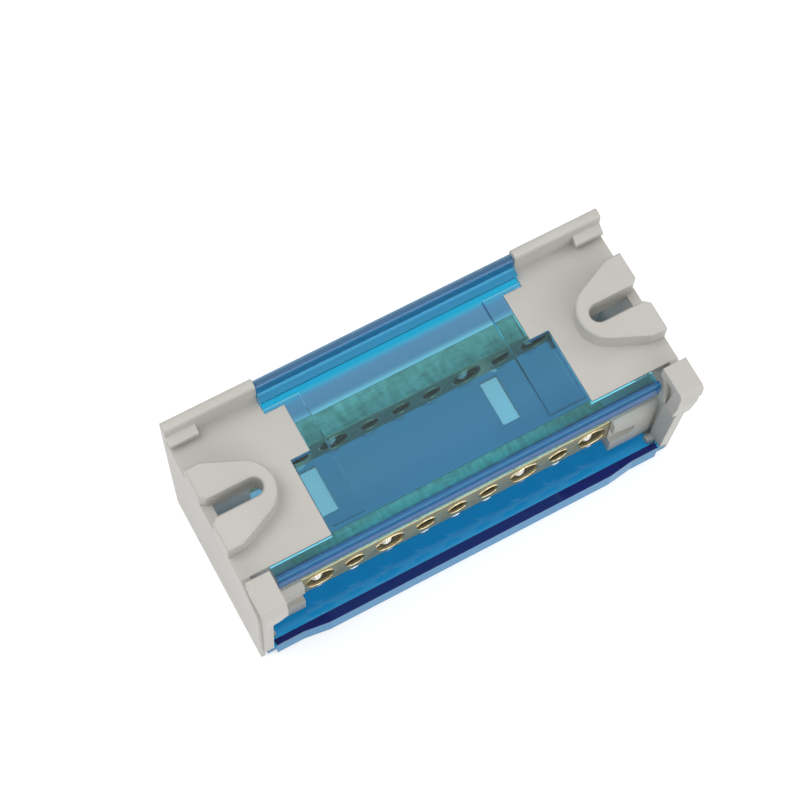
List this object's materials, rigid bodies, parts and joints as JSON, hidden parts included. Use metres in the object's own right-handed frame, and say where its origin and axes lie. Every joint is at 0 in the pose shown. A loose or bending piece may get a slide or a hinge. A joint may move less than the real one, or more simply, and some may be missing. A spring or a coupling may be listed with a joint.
{
  "type": "din rail terminal block",
  "caption": "Rail-mounted distribution terminal block: brass busbars with screw terminals in a clear blue housing, light grey end caps with snap feet, and a hinged clear cover.",
  "frame": {"origin": "under the middle of the block's box, on the cover's front face", "axes": "+X along the rail, +Y towards the side with the fixed hooks, +Z towards the rail; the block lies on its cover"},
  "size_m": [0.1, 0.0442, 0.047],
  "materials": {
    "cap_plastic": "fine satin moulding",
    "blue_clear": "clear blue polycarbonate",
    "brass": "sawn and drilled, bright rims",
    "screw_nickel": "bright nickel plating"
  },
  "bodies": {
    "block": {"base_housing": "blue_clear", "end_cap_left": "cap_plastic", "end_cap_right": "cap_plastic", "busbar_near": "brass", "busbar_far": "brass"},
    "cover": {"front_cover": "blue_clear"},
    "near_screw_1": {"near_screw_1": "screw_nickel"},
    "near_screw_2": {"near_screw_2": "screw_nickel"},
    "near_screw_3": {"near_screw_3": "screw_nickel"},
    "near_screw_4": {"near_screw_4": "screw_nickel"},
    "near_screw_5": {"near_screw_5": "screw_nickel"},
    "near_screw_6": {"near_screw_6": "screw_nickel"},
    "near_screw_7": {"near_screw_7": "screw_nickel"},
    "near_screw_8": {"near_screw_8": "screw_nickel"},
    "near_screw_9": {"near_screw_9": "screw_nickel"},
    "far_screw_1": {"far_screw_1": "screw_nickel"},
    "far_screw_2": {"far_screw_2": "screw_nickel"},
    "far_screw_3": {"far_screw_3": "screw_nickel"},
    "far_screw_4": {"far_screw_4": "screw_nickel"},
    "far_screw_5": {"far_screw_5": "screw_nickel"},
    "far_screw_6": {"far_screw_6": "screw_nickel"},
    "far_screw_7": {"far_screw_7": "screw_nickel"},
    "far_screw_8": {"far_screw_8": "screw_nickel"},
    "far_screw_9": {"far_screw_9": "screw_nickel"}
  },
  "joints": [
    {"name": "cover_hinge", "type": "hinge", "parent": "block", "child": "cover", "pos_m": [0, 0.01945, 0.0042], "axis": [1, 0, 0], "range_deg": [0, 90]},
    {"name": "near_screw_1_travel", "type": "slide", "parent": "block", "child": "near_screw_1", "axis": [0, 0, -1], "range_m": [0, 0.0048]},
    {"name": "near_screw_2_travel", "type": "slide", "parent": "block", "child": "near_screw_2", "axis": [0, 0, -1], "range_m": [0, 0.0044]},
    {"name": "near_screw_3_travel", "type": "slide", "parent": "block", "child": "near_screw_3", "axis": [0, 0, -1], "range_m": [0, 0.0048]},
    {"name": "near_screw_4_travel", "type": "slide", "parent": "block", "child": "near_screw_4", "axis": [0, 0, -1], "range_m": [0, 0.0044]},
    {"name": "near_screw_5_travel", "type": "slide", "parent": "block", "child": "near_screw_5", "axis": [0, 0, -1], "range_m": [0, 0.0044]},
    {"name": "near_screw_6_travel", "type": "slide", "parent": "block", "child": "near_screw_6", "axis": [0, 0, -1], "range_m": [0, 0.0044]},
    {"name": "near_screw_7_travel", "type": "slide", "parent": "block", "child": "near_screw_7", "axis": [0, 0, -1], "range_m": [0, 0.0048]},
    {"name": "near_screw_8_travel", "type": "slide", "parent": "block", "child": "near_screw_8", "axis": [0, 0, -1], "range_m": [0, 0.0044]},
    {"name": "near_screw_9_travel", "type": "slide", "parent": "block", "child": "near_screw_9", "axis": [0, 0, -1], "range_m": [0, 0.0048]},
    {"name": "far_screw_1_travel", "type": "slide", "parent": "block", "child": "far_screw_1", "axis": [0, 0, -1], "range_m": [0, 0.0048]},
    {"name": "far_screw_2_travel", "type": "slide", "parent": "block", "child": "far_screw_2", "axis": [0, 0, -1], "range_m": [0, 0.0044]},
    {"name": "far_screw_3_travel", "type": "slide", "parent": "block", "child": "far_screw_3", "axis": [0, 0, -1], "range_m": [0, 0.0048]},
    {"name": "far_screw_4_travel", "type": "slide", "parent": "block", "child": "far_screw_4", "axis": [0, 0, -1], "range_m": [0, 0.0044]},
    {"name": "far_screw_5_travel", "type": "slide", "parent": "block", "child": "far_screw_5", "axis": [0, 0, -1], "range_m": [0, 0.0044]},
    {"name": "far_screw_6_travel", "type": "slide", "parent": "block", "child": "far_screw_6", "axis": [0, 0, -1], "range_m": [0, 0.0044]},
    {"name": "far_screw_7_travel", "type": "slide", "parent": "block", "child": "far_screw_7", "axis": [0, 0, -1], "range_m": [0, 0.0048]},
    {"name": "far_screw_8_travel", "type": "slide", "parent": "block", "child": "far_screw_8", "axis": [0, 0, -1], "range_m": [0, 0.0044]},
    {"name": "far_screw_9_travel", "type": "slide", "parent": "block", "child": "far_screw_9", "axis": [0, 0, -1], "range_m": [0, 0.0048]}
  ]
}
